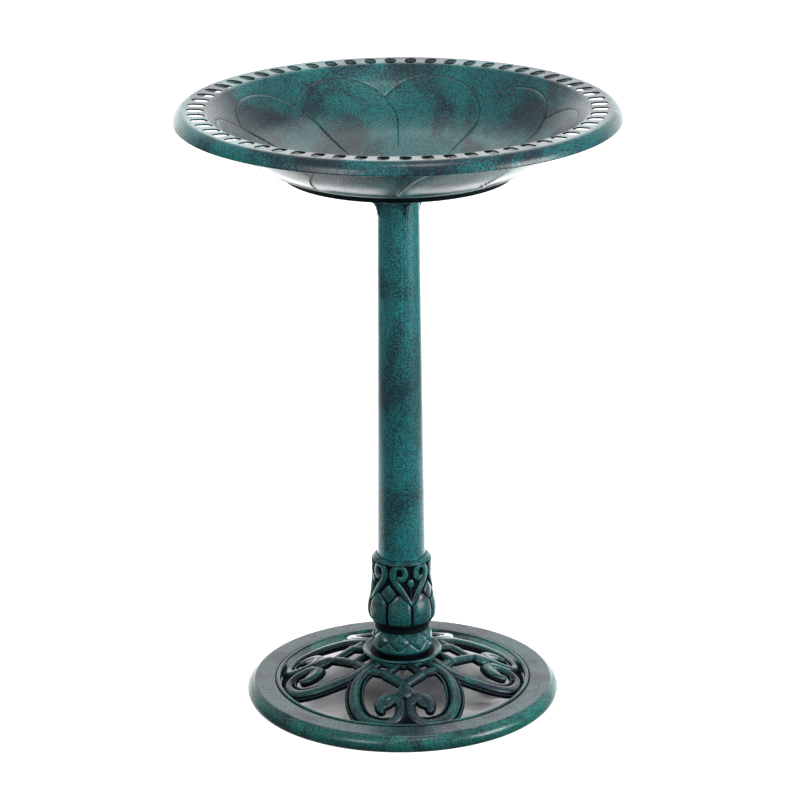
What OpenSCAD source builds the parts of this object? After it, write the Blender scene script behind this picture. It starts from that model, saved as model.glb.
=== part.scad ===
// Pedestal bird bath: an openwork base, a lotus-shaped foot, a tapered column and a lift-off bowl.
// Millimetres, +Z up, origin at the centre of the circle on which the base stands.

/* [Base] */
// Radius of the base at the ground
base_r = 184; // [170:1:200]
// Height of the base's outer band
band_h = 19; // [17:0.5:22]
// Radius of the sphere that the scrollwork's top surface follows
dome_r = 281.5; // [270:0.5:300]
// Height of that sphere's top above the ground
dome_h = 56.8; // [55:0.1:58]
// Width of a lyre's bar, with the steps beside it
bar_w = 22; // [14:0.5:24]
// Width of the thinner bars: horns, frames and links
twig_w = 12; // [8:0.5:14]
// Turn of the whole base about the column
base_turn = 1.5; // [0:0.5:10]

/* [Foot] */
// Radius of the dish under the foot
dish_r = 46.5; // [42:0.5:48]
// Largest radius of the leafy foot ring
foot_r = 34.6; // [32:0.1:36]
// Largest radius of the lotus collar
collar_r = 40.7; // [38:0.1:43]

/* [Column] */
// Outer radius of the column at its lower end
column_r_low = 28.9; // [28:0.1:30]
// Outer radius of the column at its upper end
column_r_high = 24; // [22:0.1:25]
// Wall of the column
column_wall = 2.5; // [2:0.1:4]
// Height of the underside of the bowl at its centre
seat_z = 616; // [600:1:640]
// Radius of the seat flange
seat_r = 44; // [40:0.5:46]
// Radius of the bowl's spigot
spigot_r = 16; // [14:0.5:17]

/* [Bowl] */
// Outer radius of the bowl
bowl_r = 254; // [240:1:270]
// Wall of the bowl
bowl_wall = 3; // [2.5:0.1:4]
// Height of the rim's crest above the bowl's underside at its centre
bowl_h = 99; // [95:0.1:110]
// Number of slots around the rim
slot_count = 60; // [48:1:64]
// Length of a slot along the radius
slot_len = 20; // [16:0.5:21]
// Width of a slot around the rim
slot_w = 13; // [10:0.5:14]

/* [Fasteners] */
// Diameter of the tie rod
rod_d = 8; // [6:1:10]
// Width of a rod nut across its flats
nut_flats = 13; // [10:1:17]

/* [Hidden] */

green = "#2f6f6b";
steel = "#b9bdc2";

// Base
ring_in = 145.2;              // inner radius of the band and its bead
ring_wall = 3;                // wall of the band's channel
bead_r = 2.6;                 // radius of the bead around the scrollwork
scroll_t = 8;                 // height of a scroll from its top to its underside
seam = 0.05;                  // gap between a unit of the scrollwork and what borders it
hub_r = 40;                   // radius of the plate that carries the foot
hub_top = 50;                 // height of that plate's upper face
hub_t = 7;                    // thickness of that plate
boss_r = 15;                  // radius of the boss under the hub plate
boss_bottom = 34;             // height of the boss's lower face

// Foot
dish_floor_t = 2.5;           // thickness of the dish's floor
dish_rim_z = 56.8;            // height of the dish's rim
ring_foot_top = 90;           // height of the joint between foot ring and collar
collar_top = 176;             // height of the collar's upper edge
column_bottom = 116;          // height at which the column stands in the collar

// Column
column_top = 608;             // height of the column's upper edge
rod_clear = 0.5;              // radial clearance round the rod
plug_clear = 0.2;             // radial clearance between seat plug and column
plug_floor_z = 572;           // height of the seat plug's lower face
plug_floor_t = 5;             // thickness of the seat plug's floor
spigot_clear = 0.4;           // radial clearance between the spigot and its socket
spigot_len = 24;              // length of the spigot below the bowl
washer_t = 1.6;
nut_t = 6.5;
key_w = 5;                    // width of the keys that stop the bowl turning
key_h = 2;                    // height of those keys above the spigot

// Bowl
slot_in = 25.7;               // distance of the slots' centres from the bowl's edge
slot_turn = 2;                // angle of the first slot

rod_low = boss_bottom - washer_t - nut_t - 4;
rod_high = plug_floor_z + plug_floor_t + washer_t + nut_t + 4;
bowl_top = seat_z + bowl_h;

// Points of an arc about c, from angle a0 to angle a1, in n steps
function arc(c, r, a0, a1, n) =
    [for (i = [0:n]) let (a = a0 + (a1 - a0) * i / n) [c[0] + r * cos(a), c[1] + r * sin(a)]];

// A smooth curve through a list of points, as short straight steps
function spline_point(p, i, t) =
    let (
        n = len(p) - 1,
        a = p[max(i - 1, 0)],
        b = p[i],
        c = p[min(i + 1, n)],
        d = p[min(i + 2, n)]
    )
    0.5 * (2 * b + (c - a) * t + (2 * a - 5 * b + 4 * c - d) * t * t
        + (3 * b - a - 3 * c + d) * t * t * t);

function spline(p, steps) =
    [for (i = [0:len(p) - 2], s = [0:steps - 1]) spline_point(p, i, s / steps), p[len(p) - 1]];

function across(p, i) =
    let (
        d = p[min(i + 1, len(p) - 1)] - p[max(i - 1, 0)]
    )
    [-d[1], d[0]] / norm(d);

// A band of width w along a path, round at its ends
module stroke(p, w) {
    n = len(p) - 1;
    polygon(concat(
        [for (i = [0:n]) p[i] + across(p, i) * w / 2],
        [for (i = [n:-1:0]) p[i] - across(p, i) * w / 2]
    ));
    for (end = [p[0], p[n]])
        translate(end) circle(d = w, $fn = 24);
}

// Half of a lyre: [across, outward] from the hub, along the band and back up the middle
root_path = [[29, 36], [37, 42], [44, 49], [50.5, 57]];
lyre_path = [
    [50.5, 57], [55.5, 66], [58.5, 78], [59.8, 91], [59, 104], [55.5, 116.5], [49, 126.5],
    [39.5, 133], [28, 137],
];
stem_path = [[28, 137], [18, 137], [10.5, 132], [6.2, 124.5], [5.2, 114], [5.4, 106]];
volute_path = [[6, 118], [8.5, 108], [15, 102], [22.5, 102.5], [26.5, 108], [27, 115], [26.5, 118]];
diamond_tip = [0, 82.5];
diamond_side = [20.5, 62];
diamond_root = [5, 42];
link_r = 60.5;
knot_path = [[0, 97], [0, 104]];
knot_w = 18;

module half_unit() {
    stroke(spline(root_path, 3), twig_w);
    stroke(spline(lyre_path, 3), bar_w);
    stroke(spline(stem_path, 3), twig_w + 2);
    stroke(spline(volute_path, 3), twig_w + 1);
    stroke([diamond_tip, diamond_side, diamond_root], twig_w);
    stroke(concat([diamond_side], [for (a = [66:-6:42]) link_r * [cos(a), sin(a)]]), twig_w);
}

// One of the four units of the scrollwork seen from above, its axis along +Y
module unit_outline() {
    half_unit();
    mirror([1, 0]) half_unit();
    stroke(knot_path, knot_w);
}

// A unit is cut from a domed shell. It ends at the band, the hub and its two neighbours.
module scroll_unit(turn) {
    reach = ring_in * 1.5;
    color(green)
    rotate(base_turn + turn)
        difference() {
            intersection() {
                linear_extrude(height = 70)
                    offset(delta = 0.01)
                        intersection() {
                            unit_outline();
                            circle(r = ring_in - seam, $fn = 144);
                            translate([0, seam])
                                polygon([[0, 0], [reach, reach], [-reach, reach]]);
                        }
                translate([0, 0, dome_h - dome_r])
                    difference() {
                        sphere(r = dome_r, $fn = 240);
                        sphere(r = dome_r - scroll_t, $fn = 240);
                    }
            }
            translate([0, 0, -1]) cylinder(r = hub_r, h = 80, $fn = 96);
            translate([0, 0, hub_top]) cylinder(r = dish_r - 2, h = 30, $fn = 96);
        }
}

module scroll_front() {
    scroll_unit(180);
}

module scroll_right() {
    scroll_unit(-90);
}

module scroll_back() {
    scroll_unit(0);
}

module scroll_left() {
    scroll_unit(90);
}

// The band: an upturned channel with a rolled outer edge and a bead inside
module base_band() {
    roll_r = 10;
    roll = [base_r - roll_r, 9];
    w = ring_wall;
    under = band_h - w;
    color(green)
    rotate_extrude($fn = 180)
        polygon(concat(
            [[roll[0] + 4, 0]],
            arc(roll, roll_r, -62, 68, 9),
            [[roll[0] - 1, band_h - 0.2], [roll[0] - 8, band_h], [ring_in + 5.8, band_h]],
            [[ring_in + 5.4, band_h - 2], [ring_in + 5, band_h - 2]],
            arc([ring_in + bead_r, band_h - 1.2], bead_r, 0, 180, 6),
            [[ring_in, 0], [ring_in + w, 0], [ring_in + w, under - 1], [roll[0] - 8, under]],
            arc(roll, roll_r - w, 80, -50, 6),
            [[roll[0] + 2, 0]]
        ));
}

// The plate that carries the foot, with a boss below it for the tie rod
module base_hub() {
    color(green)
    rotate_extrude($fn = 96)
        polygon([
            [rod_d / 2 + rod_clear, boss_bottom],
            [boss_r - 2, boss_bottom],
            [boss_r, boss_bottom + 2],
            [boss_r, hub_top - hub_t],
            [hub_r, hub_top - hub_t],
            [hub_r, hub_top],
            [rod_d / 2 + rod_clear, hub_top],
        ]);
}

module foot_dish() {
    rim_low = dish_rim_z - 2.6;
    color(green)
    rotate_extrude($fn = 96)
        polygon([
            [rod_d / 2 + rod_clear, hub_top],
            [36, hub_top],
            [dish_r - 2.6, rim_low - 0.6],
            [dish_r, rim_low],
            [dish_r, dish_rim_z - 0.6],
            [dish_r - 1.2, dish_rim_z],
            [dish_r - 3, dish_rim_z - 1.2],
            [36, hub_top + dish_floor_t],
            [rod_d / 2 + rod_clear, hub_top + dish_floor_t],
        ]);
}

module foot_ring() {
    low = hub_top + dish_floor_t;
    wall = 4;
    color(green)
    rotate_extrude($fn = 96)
        polygon([
            [foot_r - 4.6, low],
            [foot_r - 1.4, low + 5],
            [foot_r, low + 12],
            [foot_r - 0.8, low + 20],
            [foot_r - 2.4, low + 29],
            [foot_r - 2.9, ring_foot_top],
            [foot_r - 2.9 - wall, ring_foot_top],
            [foot_r - 2.4 - wall, low + 29],
            [foot_r - wall, low + 12],
            [foot_r - 4.6 - wall, low],
        ]);
}

// The collar: a lotus cup that swells over its petals, narrows at a waist and ends in a lip
module lotus_collar() {
    wall = 3.5;
    bore = column_r_low + 0.15;
    low = ring_foot_top;
    color(green)
    rotate_extrude($fn = 96)
        polygon([
            [rod_d / 2 + rod_clear, low],
            [foot_r - 2.9, low],
            [collar_r - 6.3, low + 3],
            [collar_r - 2.9, low + 8],
            [collar_r - 0.8, low + 13],
            [collar_r, low + 20.6],
            [collar_r - 0.9, low + 28],
            [collar_r - 3.4, low + 38],
            [collar_r - 5.4, low + 53.5],
            [collar_r - 6.3, low + 60],
            [collar_r - 5.7, low + 66],
            [collar_r - 6.2, low + 74],
            [collar_r - 5.8, low + 79],
            [collar_r - 6.4, collar_top - 3],
            [collar_r - 8, collar_top],
            [bore, collar_top],
            [bore, column_bottom],
            [column_r_low - 4, column_bottom],
            [column_r_low - 4, low + wall + 12],
            [rod_d / 2 + rod_clear, low + wall + 2],
        ]);
}

module column_tube() {
    color(green)
    rotate_extrude($fn = 96)
        polygon([
            [column_r_low - column_wall, column_bottom],
            [column_r_low, column_bottom],
            [column_r_high, column_top],
            [column_r_high - column_wall, column_top],
        ]);
}

// The seat that closes the column: a flange on four gussets, and a plug with the bowl's socket
module bowl_seat() {
    plug_r = column_r_high - column_wall - plug_clear;
    socket_r = spigot_r + spigot_clear;
    flange_t = seat_z - 0.1 - column_top;
    key_clear = 0.4;
    color(green) {
        difference() {
            rotate_extrude($fn = 96)
                polygon([
                    [rod_d / 2 + rod_clear, plug_floor_z],
                    [plug_r - 1, plug_floor_z],
                    [plug_r, plug_floor_z + 1],
                    [plug_r, column_top],
                    [column_r_high + 4, column_top],
                    [seat_r - 2, column_top + flange_t - 4],
                    [seat_r, column_top + flange_t - 3],
                    [seat_r, column_top + flange_t - 1],
                    [seat_r - 1, column_top + flange_t],
                    [socket_r, column_top + flange_t],
                    [socket_r, plug_floor_z + plug_floor_t],
                    [rod_d / 2 + rod_clear, plug_floor_z + plug_floor_t],
                ]);
            // keyways for the bowl's two keys
            for (a = [0, 180])
                rotate(a)
                    translate([0, -key_w / 2 - key_clear, seat_z - spigot_len - 1])
                        cube([
                            spigot_r + key_h + key_clear,
                            key_w + 2 * key_clear,
                            spigot_len + 2,
                        ]);
        }
        for (k = [0:3])
            rotate(22 + 90 * k) gusset();
    }
}

// One gusset: a thin fin outside the column that grows out to the flange
module gusset() {
    fin_t = 3;
    start = column_r_high + 0.3;
    translate([0, fin_t / 2, 0])
        rotate([90, 0, 0])
            linear_extrude(height = fin_t)
                polygon([
                    [start, column_top + 1],
                    [start, 587],
                    [start + 1.2, 588],
                    [start + 2.4, 597],
                    [start + 6, 604],
                    [start + 13, column_top + 1],
                ]);
}

module tie_rod() {
    color(steel)
    translate([0, 0, rod_low])
        cylinder(d = rod_d, h = rod_high - rod_low, $fn = 48);
}

module washer() {
    color(steel)
    difference() {
        cylinder(r = rod_d, h = washer_t, $fn = 48);
        translate([0, 0, -1]) cylinder(r = rod_d / 2 + rod_clear, h = washer_t + 2, $fn = 48);
    }
}

module nut() {
    color(steel)
    difference() {
        cylinder(r = nut_flats / 2 / cos(30), h = nut_t, $fn = 6);
        translate([0, 0, -1]) cylinder(r = rod_d / 2 + 0.02, h = nut_t + 2, $fn = 48);
    }
}

module bottom_washer() {
    translate([0, 0, boss_bottom - washer_t]) washer();
}

module bottom_nut() {
    translate([0, 0, boss_bottom - washer_t - nut_t]) nut();
}

module top_washer() {
    translate([0, 0, plug_floor_z + plug_floor_t]) washer();
}

module top_nut() {
    translate([0, 0, plug_floor_z + plug_floor_t + washer_t]) nut();
}

// A slot is oblong, its length along the radius
module slot_outline() {
    end_x = (slot_len - slot_w) / 2;
    square([2 * end_x, slot_w], center = true);
    for (x = [-end_x, end_x])
        translate([x, 0]) circle(d = slot_w, $fn = 36);
}

// A place on the bowl, as inwards from its outer radius and down from its rim's crest
function from_rim(p) = [bowl_r - p[0], bowl_top - p[1]];

// Half of the bowl's section: the inner face from the centre out, then the outer face back
module bowl_section() {
    t = bowl_wall;
    floor_z = seat_z + t;
    dished = [[0, floor_z], [45, floor_z], [90, seat_z + 18.5], [120, seat_z + 29]];
    inner = [
        [109, 60.5], [84, 46.5], [64, 28], [54, 17.5], [46.6, 10.4], [42, 6.3], [38.5, 3.2],
        [35.5, 1.7], [31, 1.2], [26, 1], [20, 0.7], [15, 0.4], [12, 0], [8, 1.1], [4, 4.2],
        [1.4, 8.5], [0, 13.5],
    ];
    outer = [
        [t, 14], [t + 1.4, 9], [t + 3.7, 5.7], [t + 6.5, 3.7], [t + 10, 3.1], [t + 17, 3.6],
        [t + 23, 4.2], [t + 28.5, 4.7], [t + 31.5, 5.8], [t + 34.5, 7.8], [t + 39, 11.5],
        [t + 41.4, 14], [t + 49, 21], [t + 58.8, 32.4], [t + 78.7, 51.7], [t + 101, 66.3],
    ];
    foot = [
        [134, seat_z + 27.5], [132, seat_z + 21.5], [128, seat_z + 21.5],
        [126.5, seat_z + 27.5], [90, seat_z + 15], [46, seat_z], [0, seat_z],
    ];
    polygon(concat(dished, [for (p = inner) from_rim(p)], [for (p = outer) from_rim(p)], foot));
}

module bowl() {
    color(green)
    union() {
        difference() {
            rotate_extrude($fn = 180) bowl_section();
            for (i = [0:slot_count - 1])
                rotate(slot_turn + 360 / slot_count * i)
                    translate([bowl_r - slot_in, 0, bowl_top - 30])
                        linear_extrude(height = 40) slot_outline();
        }
        difference() {
            union() {
                translate([0, 0, seat_z - spigot_len])
                    cylinder(r = spigot_r, h = spigot_len + 1, $fn = 72);
                for (a = [0, 180])
                    rotate(a)
                        translate([0, -key_w / 2, seat_z - spigot_len])
                            cube([spigot_r + key_h, key_w, spigot_len + 1]);
            }
            translate([0, 0, seat_z - spigot_len - 1])
                cylinder(r = spigot_r - 3, h = spigot_len, $fn = 72);
        }
    }
}

base_band();
base_hub();
scroll_front();
scroll_right();
scroll_back();
scroll_left();
foot_dish();
foot_ring();
lotus_collar();
column_tube();
bowl_seat();
tie_rod();
bottom_washer();
bottom_nut();
top_washer();
top_nut();
bowl();
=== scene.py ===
"""Looks of a pedestal bird bath of moulded plastic, built around its CAD frame.

The shapes are worked out in millimetres, in the frame's own axes: +Z up, -Y to the front, and the
origin at the centre of the base on the ground. put() turns them into Blender pieces in metres.
"""
from math import cos, pi, radians, sin

import bmesh
import bpy
import numpy as np
from mathutils import Matrix, Vector


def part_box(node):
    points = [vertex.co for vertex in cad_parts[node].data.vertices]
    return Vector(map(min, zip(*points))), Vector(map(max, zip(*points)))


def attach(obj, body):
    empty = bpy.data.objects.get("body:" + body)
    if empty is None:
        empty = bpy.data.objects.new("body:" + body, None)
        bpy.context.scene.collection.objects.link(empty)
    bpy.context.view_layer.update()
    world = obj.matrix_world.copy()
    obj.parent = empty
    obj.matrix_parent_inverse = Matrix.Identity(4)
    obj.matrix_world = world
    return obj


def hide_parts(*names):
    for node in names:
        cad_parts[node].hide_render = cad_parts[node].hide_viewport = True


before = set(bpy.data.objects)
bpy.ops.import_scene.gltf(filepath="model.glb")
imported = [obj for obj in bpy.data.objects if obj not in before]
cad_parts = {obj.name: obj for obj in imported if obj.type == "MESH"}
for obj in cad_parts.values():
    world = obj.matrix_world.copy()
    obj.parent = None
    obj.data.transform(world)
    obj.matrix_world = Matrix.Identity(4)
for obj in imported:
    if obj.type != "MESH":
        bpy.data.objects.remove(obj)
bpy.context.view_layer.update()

MM = 0.001


def node_box(node):
    """Lowest and highest corner of a CAD node, in millimetres."""
    low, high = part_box(node)
    return np.array(low) / MM, np.array(high) / MM


# Places from the frame
BAND_R, BAND_TOP = node_box("base_band")[1][[0, 2]]
HUB_R, HUB_TOP = node_box("base_hub")[1][[0, 2]]
HUB_LOW = node_box("base_hub")[0][2]
DISH_R, DISH_TOP = node_box("foot_dish")[1][[0, 2]]
RING_R, RING_TOP = node_box("foot_ring")[1][[0, 2]]
RING_LOW = node_box("foot_ring")[0][2]
COLLAR_R, COLLAR_TOP = node_box("lotus_collar")[1][[0, 2]]
COLUMN_R, COLUMN_TOP = node_box("column_tube")[1][[0, 2]]
COLUMN_LOW = node_box("column_tube")[0][2]
SEAT_R, SEAT_TOP = node_box("bowl_seat")[1][[0, 2]]
PLUG_LOW = node_box("bowl_seat")[0][2]
BOWL_R, RIM_TOP = node_box("bowl")[1][[1, 2]]
SPIGOT_LOW = node_box("bowl")[0][2]
ROD_HOLE_R = node_box("tie_rod")[1][0] + 0.5

# Places that the boxes don't give
RING_IN = 145.2         # inner radius of the base's band
BEAD_R = 2.6            # radius of the bead that borders the scrollwork
DOME_R = 281.5          # radius of the sphere that the scrollwork's ridges follow
DOME_TOP = 56.8         # height of that sphere's top
BASE_TURN = 1.5         # turn of the scrollwork about the column, in degrees
COLUMN_R_HIGH = 24.0    # outer radius of the column at its upper end
COLUMN_WALL = 2.5
UNDERSIDE = 616.0       # height of the bowl's underside at its centre
SPIGOT_R = 16.0
FOOT_R = 131.0          # radius of the low foot ring under the bowl
SLOTS = 60              # slots around the rim
SLOT_START = 2.0        # angle of the first slot, in degrees
SLOT_R = 228.3          # radius of the slots' centres
SLOT_LEN = 20.0
SLOT_W = 13.0
PETALS = 10             # petals inside the bowl
PETAL_FIRST = 112.65    # angle of the first petal's tip, in degrees
PETAL_TIP_R = 204.3
LILY_AXIS = -72.0       # angle of a scroll pair on the collar, in degrees from +X
LATTICE_AXIS = -97.2    # angle of a leaf on the foot ring


# Curves and meshes

def spline(points, steps=8):
    """A smooth curve through the rows of points, as short straight steps."""
    p = np.asarray(points, float)
    last = len(p) - 1
    made = []
    for i in range(last):
        a, b, c, d = p[max(i - 1, 0)], p[i], p[i + 1], p[min(i + 2, last)]
        for t in np.arange(steps) / steps:
            bend = (2 * a - 5 * b + 4 * c - d) * t ** 2 + (3 * b - a - 3 * c + d) * t ** 3
            made.append((2 * b + (c - a) * t + bend) / 2)
    return np.array(made + [p[last]])


def rounded(outline, radius, steps=4):
    """A closed outline with each corner replaced by an arc of about that radius."""
    p = np.asarray(outline, float)
    made = []
    for i in range(len(p)):
        before, here, after = p[i - 1], p[i], p[(i + 1) % len(p)]
        a, b = before - here, after - here
        reach = min(radius, 0.45 * np.hypot(*a), 0.45 * np.hypot(*b))
        start, end = here + a / np.hypot(*a) * reach, here + b / np.hypot(*b) * reach
        for t in np.linspace(0, 1, steps):
            made.append(start * (1 - t) ** 2 + 2 * here * t * (1 - t) + end * t ** 2)
    return np.array(made)


def grid_faces(rows, columns, close_rows=False):
    """Quads over rows of vertices that are numbered row by row. Each row is a closed ring."""
    r = np.arange(rows if close_rows else rows - 1)
    r, c = [x.ravel() for x in np.meshgrid(r, np.arange(columns), indexing="ij")]
    up, side = (r + 1) % rows, (c + 1) % columns
    corners = (r * columns + c, r * columns + side, up * columns + side, up * columns + c)
    return np.stack(corners, 1)


def ring_points(radius, z, angles):
    """Points around the axis. radius and z are one number per row, or one per point."""
    radius, z = [np.broadcast_to(np.atleast_2d(x), (np.atleast_2d(radius).shape[0], len(angles)))
                 for x in (radius, z)]
    a = np.radians(angles)
    return np.stack([radius * np.cos(a), radius * np.sin(a), z], 2).reshape(-1, 3)


def revolve(outline, segments=240):
    """A closed outline of (radius, z) turned about the axis."""
    o = np.asarray(outline, float)
    angles = np.arange(segments) * 360 / segments
    points = ring_points(o[:, :1], o[:, 1:], angles)
    return points, grid_faces(len(o), segments, close_rows=True)


def joined(*shapes):
    """Several (points, faces) as one."""
    points, faces, n = [], [], 0
    for p, f in shapes:
        points.append(p)
        faces += [[int(i) + n for i in face] for face in f]
        n += len(p)
    return np.concatenate(points), faces


def make_mesh(name, points, faces, marks=None, sharp=40):
    """A smooth mesh in metres. marks are values per point, for the material to read."""
    mesh = bpy.data.meshes.new(name)
    mesh.from_pydata((np.asarray(points) * MM).tolist(), [], [[int(i) for i in f] for f in faces])
    for key, values in (marks or {}).items():
        layer = mesh.attributes.new(key, "FLOAT", "POINT")
        layer.data.foreach_set("value", np.asarray(values, np.float32))
    mesh.validate()
    mesh.shade_smooth()
    mesh.set_sharp_from_angle(angle=radians(sharp))
    return mesh


def put(name, mesh, body, nodes, material):
    """A piece that stands for CAD nodes and rides on their body."""
    piece = bpy.data.objects.new(name, mesh)
    bpy.context.scene.collection.objects.link(piece)
    mesh.materials.clear()
    mesh.materials.append(material)
    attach(piece, body)
    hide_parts(*nodes)


def nearest(points, path):
    """Distance from each point to a path, and how far along the path, from 0 to 1, it lies."""
    best = np.full(len(points), 1e9)
    share = np.zeros(len(points))
    for i in range(len(path) - 1):
        a, d = path[i], path[i + 1] - path[i]
        t = np.clip(((points - a) @ d) / max(d @ d, 1e-9), 0, 1)
        gap = np.linalg.norm(points - a - t[:, None] * d, axis=1)
        near = gap < best
        best[near] = gap[near]
        share[near] = (i + t[near]) / (len(path) - 1)
    return best, share


def smooth_step(x, low, high):
    """0 below low, 1 above high, and a smooth rise between."""
    t = np.clip((x - low) / (high - low), 0, 1)
    return t * t * (3 - 2 * t)


# Materials

def node_tree(material):
    """A material's nodes and its Principled shader."""
    material.use_nodes = True
    tree = material.node_tree
    shader = tree.nodes["Principled BSDF"]
    return tree, shader


def add(tree, kind, inputs=None, **settings):
    """A node with its settings. An input is a value, or a socket to link from."""
    node = tree.nodes.new(kind)
    for key, value in settings.items():
        setattr(node, key, value)
    for key, value in (inputs or {}).items():
        if isinstance(value, bpy.types.NodeSocket):
            tree.links.new(value, node.inputs[key])
        else:
            node.inputs[key].default_value = value
    return node


def maths(tree, operation, a, b=0.0, clamp=False):
    return add(tree, "ShaderNodeMath", {0: a, 1: b}, operation=operation, use_clamp=clamp).outputs[0]


def remap(tree, value, low, high, to_low=0.0, to_high=1.0):
    inputs = {"Value": value, "From Min": low, "From Max": high, "To Min": to_low, "To Max": to_high}
    node = add(tree, "ShaderNodeMapRange", inputs, interpolation_type="SMOOTHSTEP")
    return node.outputs["Result"]


def mix(tree, share, a, b):
    node = add(tree, "ShaderNodeMix", {"Factor": share}, data_type="RGBA")
    for key, value in (("A", a), ("B", b)):
        socket = next(s for s in node.inputs if s.name == key and s.type == "RGBA")
        if isinstance(value, bpy.types.NodeSocket):
            tree.links.new(value, socket)
        else:
            socket.default_value = (*value, 1)
    return next(s for s in node.outputs if s.type == "RGBA")


def noise(tree, place, scale, detail=2.0, roughness=0.5, distortion=0.0):
    inputs = {"Vector": place, "Scale": scale, "Detail": detail, "Roughness": roughness,
              "Distortion": distortion}
    return add(tree, "ShaderNodeTexNoise", inputs).outputs["Fac"]


def verdigris(name, teal, bright, patch_size, patch_share, grime):
    """Moulded plastic in teal, with a speckle of dark grains that thickens in sponged patches.

    The mesh's marks change it: the shade mark paints shade into hollows and dulls them, line paints
    shade along a petal's edge groove, and the sheen mark greys the green as a painted sheen.
    """
    material = bpy.data.materials.new(name)
    tree, shader = node_tree(material)
    place = add(tree, "ShaderNodeTexCoord").outputs["Object"]
    stretched = add(tree, "ShaderNodeMapping", {"Vector": place, "Scale": patch_size}).outputs[0]
    patch = remap(tree, noise(tree, stretched, 1.0, 4.0, 0.55, 0.6), *patch_share)
    drift = remap(tree, noise(tree, stretched, 0.45, 2.0, 0.5), 0.35, 0.65)
    grain = noise(tree, place, 620, 2.5, 0.65)
    coarse = noise(tree, place, 210, 2.0, 0.6)
    painted_shade = add(tree, "ShaderNodeAttribute", attribute_name="painted_shade").outputs["Fac"]
    line = add(tree, "ShaderNodeAttribute", attribute_name="line").outputs["Fac"]

    green = mix(tree, drift, teal, bright)
    green = mix(tree, remap(tree, coarse, 0.40, 0.72, 0.0, 0.30), green, (0.07, 0.16, 0.18))
    # painted sheen: the sheen mark greys the green, for the gloss the band's upper face takes from above
    painted_sheen = add(tree, "ShaderNodeAttribute", attribute_name="painted_sheen").outputs["Fac"]
    green = mix(tree, painted_sheen, green, (0.060, 0.105, 0.125))
    green = mix(tree, remap(tree, grain, 0.44, 0.34, 0.0, 0.40), green, (0.060, 0.330, 0.320))
    speckle = remap(tree, maths(tree, "ADD", grain, maths(tree, "MULTIPLY", patch, 0.10)), 0.49, 0.55)
    dark_share = maths(tree, "ADD", maths(tree, "MULTIPLY", speckle, 0.80),
                       maths(tree, "MULTIPLY", patch, 0.38), clamp=True)
    worn = mix(tree, maths(tree, "MULTIPLY", dark_share, grime), green, (0.010, 0.014, 0.030))
    # painted shade: where the shade mark is high the colour goes to near black
    sunk = mix(tree, remap(tree, painted_shade, 0.15, 0.85, 0.0, 0.97), worn, (0.0015, 0.0035, 0.006))
    # painted shade: near a petal's edge the colour darkens, as shade in its groove
    thin = remap(tree, line, 0.70, 0.92)
    colour = mix(tree, maths(tree, "MULTIPLY", thin, 0.62), sunk, (0.003, 0.010, 0.014))
    tree.links.new(colour, shader.inputs["Base Color"])

    rough = maths(tree, "ADD", 0.24, maths(tree, "MULTIPLY", grain, 0.12))
    rough = maths(tree, "ADD", rough, maths(tree, "MULTIPLY", patch, 0.05))
    rough = maths(tree, "ADD", rough, maths(tree, "MULTIPLY", painted_shade, 0.40), clamp=True)
    tree.links.new(rough, shader.inputs["Roughness"])
    shine = remap(tree, painted_shade, 0.1, 0.8, 0.5, 0.08)
    tree.links.new(shine, shader.inputs["Specular IOR Level"])

    skin = maths(tree, "ADD", maths(tree, "MULTIPLY", grain, 0.6), maths(tree, "MULTIPLY", coarse, 0.5))
    bump = add(tree, "ShaderNodeBump", {"Height": skin, "Strength": 0.22, "Distance": 0.0006})
    groove = maths(tree, "MULTIPLY", thin, -1.0)
    bump = add(tree, "ShaderNodeBump", {"Height": groove, "Strength": 0.6, "Distance": 0.0008,
                                        "Normal": bump.outputs[0]})
    tree.links.new(bump.outputs[0], shader.inputs["Normal"])
    return material


def zinc(name):
    """Zinc-plated steel: a cool grey with faint cloudy passivation and fine brushing."""
    material = bpy.data.materials.new(name)
    tree, shader = node_tree(material)
    place = add(tree, "ShaderNodeTexCoord").outputs["Object"]
    cloud = noise(tree, place, 160, 3.0, 0.6)
    brushed = add(tree, "ShaderNodeMapping", {"Vector": place, "Scale": (900, 900, 90)}).outputs[0]
    streak = noise(tree, brushed, 1.0, 2.0, 0.5)
    colour = mix(tree, cloud, (0.42, 0.44, 0.46), (0.66, 0.66, 0.62))
    tree.links.new(colour, shader.inputs["Base Color"])
    shader.inputs["Metallic"].default_value = 1.0
    rough = maths(tree, "ADD", 0.28, maths(tree, "MULTIPLY", streak, 0.2))
    tree.links.new(rough, shader.inputs["Roughness"])
    bump = add(tree, "ShaderNodeBump", {"Height": streak, "Strength": 0.2, "Distance": 0.0002})
    tree.links.new(bump.outputs[0], shader.inputs["Normal"])
    return material


# Base

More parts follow.
